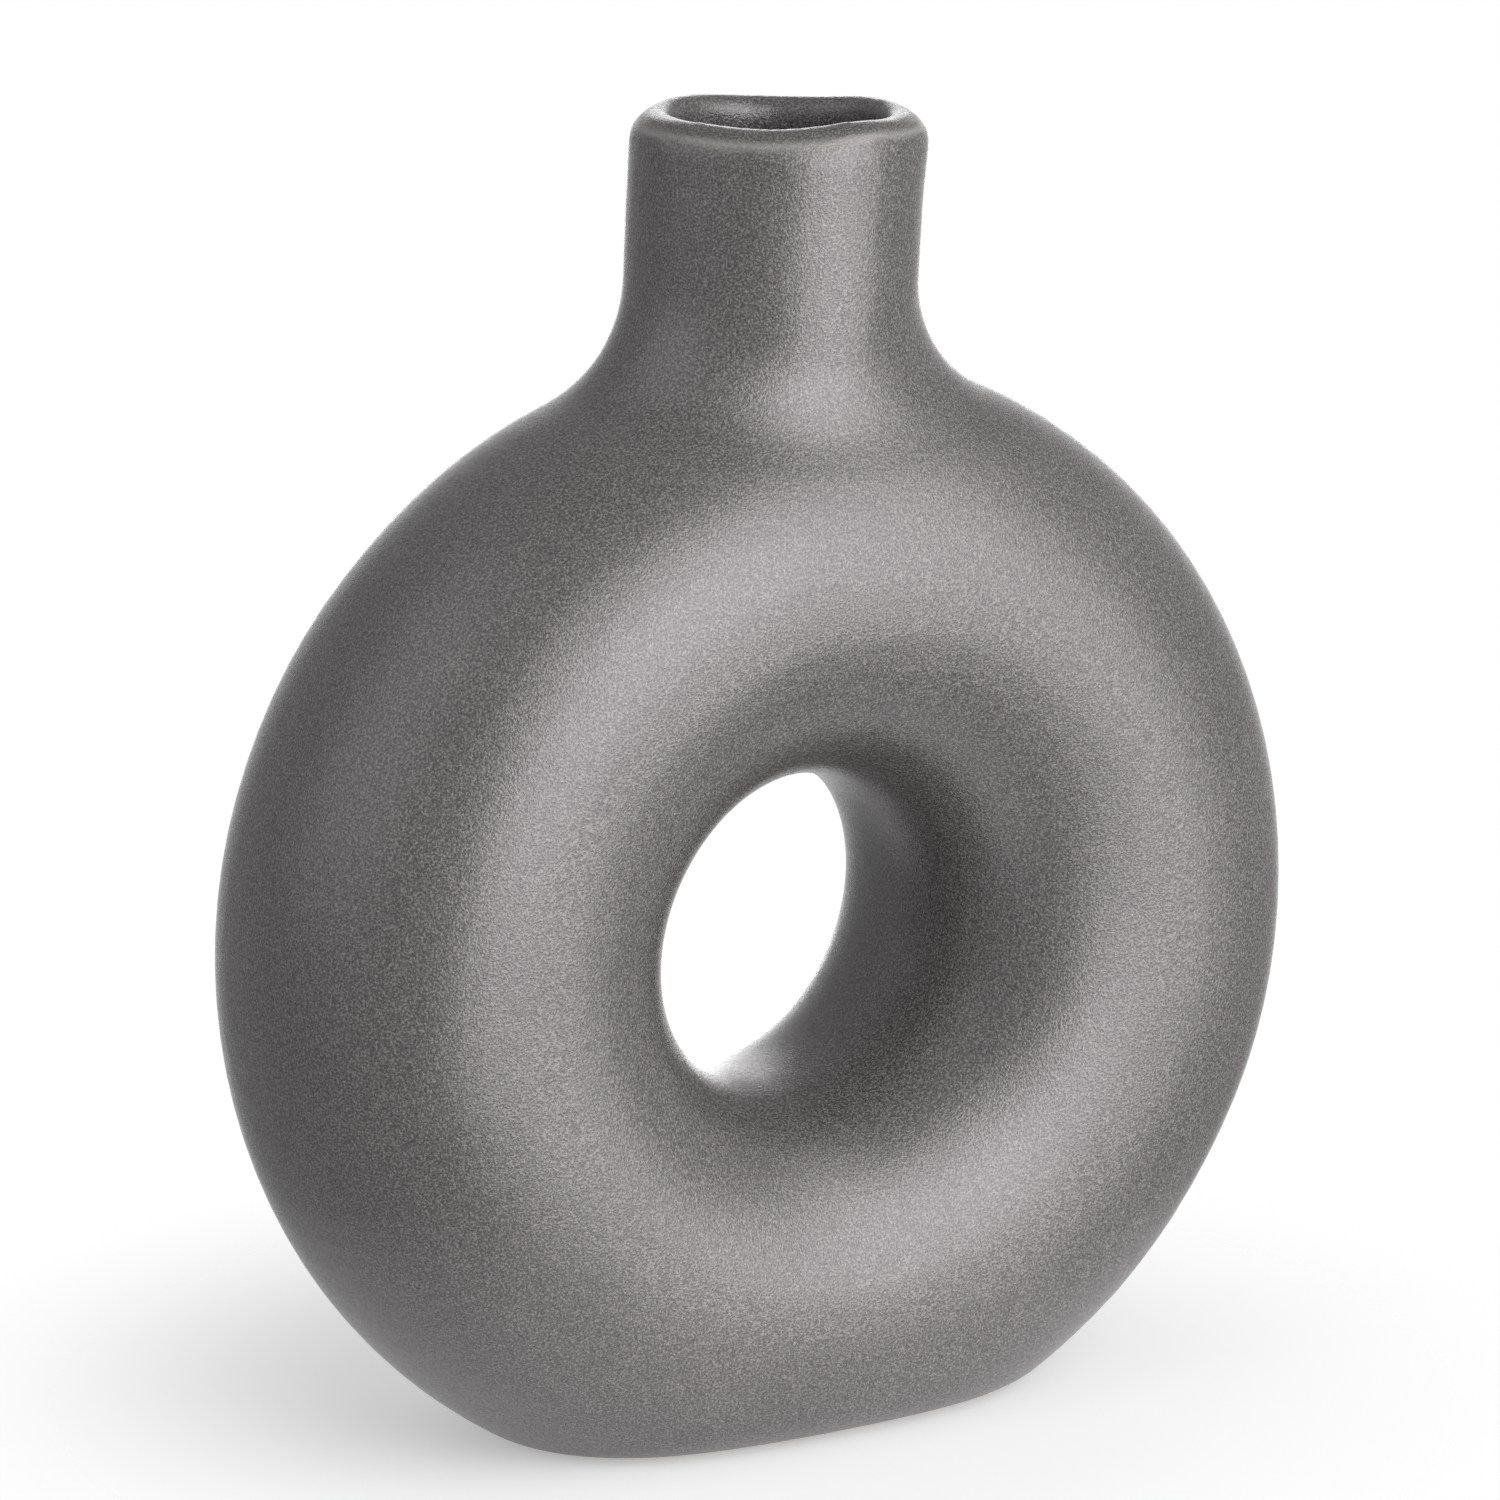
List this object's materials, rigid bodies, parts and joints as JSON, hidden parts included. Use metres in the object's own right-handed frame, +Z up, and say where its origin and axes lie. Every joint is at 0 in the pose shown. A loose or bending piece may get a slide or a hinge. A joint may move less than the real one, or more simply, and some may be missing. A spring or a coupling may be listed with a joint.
{
  "type": "donut vase",
  "caption": "Upright hollow ring vase with a round hole through it, a flat cut foot and a short round neck, in sandy matte grey glaze, for a few dry or fresh stems.",
  "frame": {"origin": "middle of the flat foot, on the surface that the vase stands on", "axes": "+X across the ring to the right seen from the front, -Y towards the front, +Z up"},
  "size_m": [0.16, 0.06, 0.1839],
  "materials": {
    "stoneware": "bare fired stoneware, fine grained, wiped clean",
    "clay_slip": "fired clay slip, smooth",
    "matte_glaze": "warm dark grey matte glaze with a fine sandy grain and a soft sheen",
    "liner_glaze": "smooth satin grey liner glaze"
  },
  "bodies": {
    "root": {"front_shell": "stoneware", "back_shell": "stoneware", "neck": "stoneware", "outer_seam_slip": "clay_slip", "hole_seam_slip": "clay_slip", "neck_seam_slip": "clay_slip", "matte_glaze": "matte_glaze", "liner_glaze": "liner_glaze"}
  },
  "joints": []
}
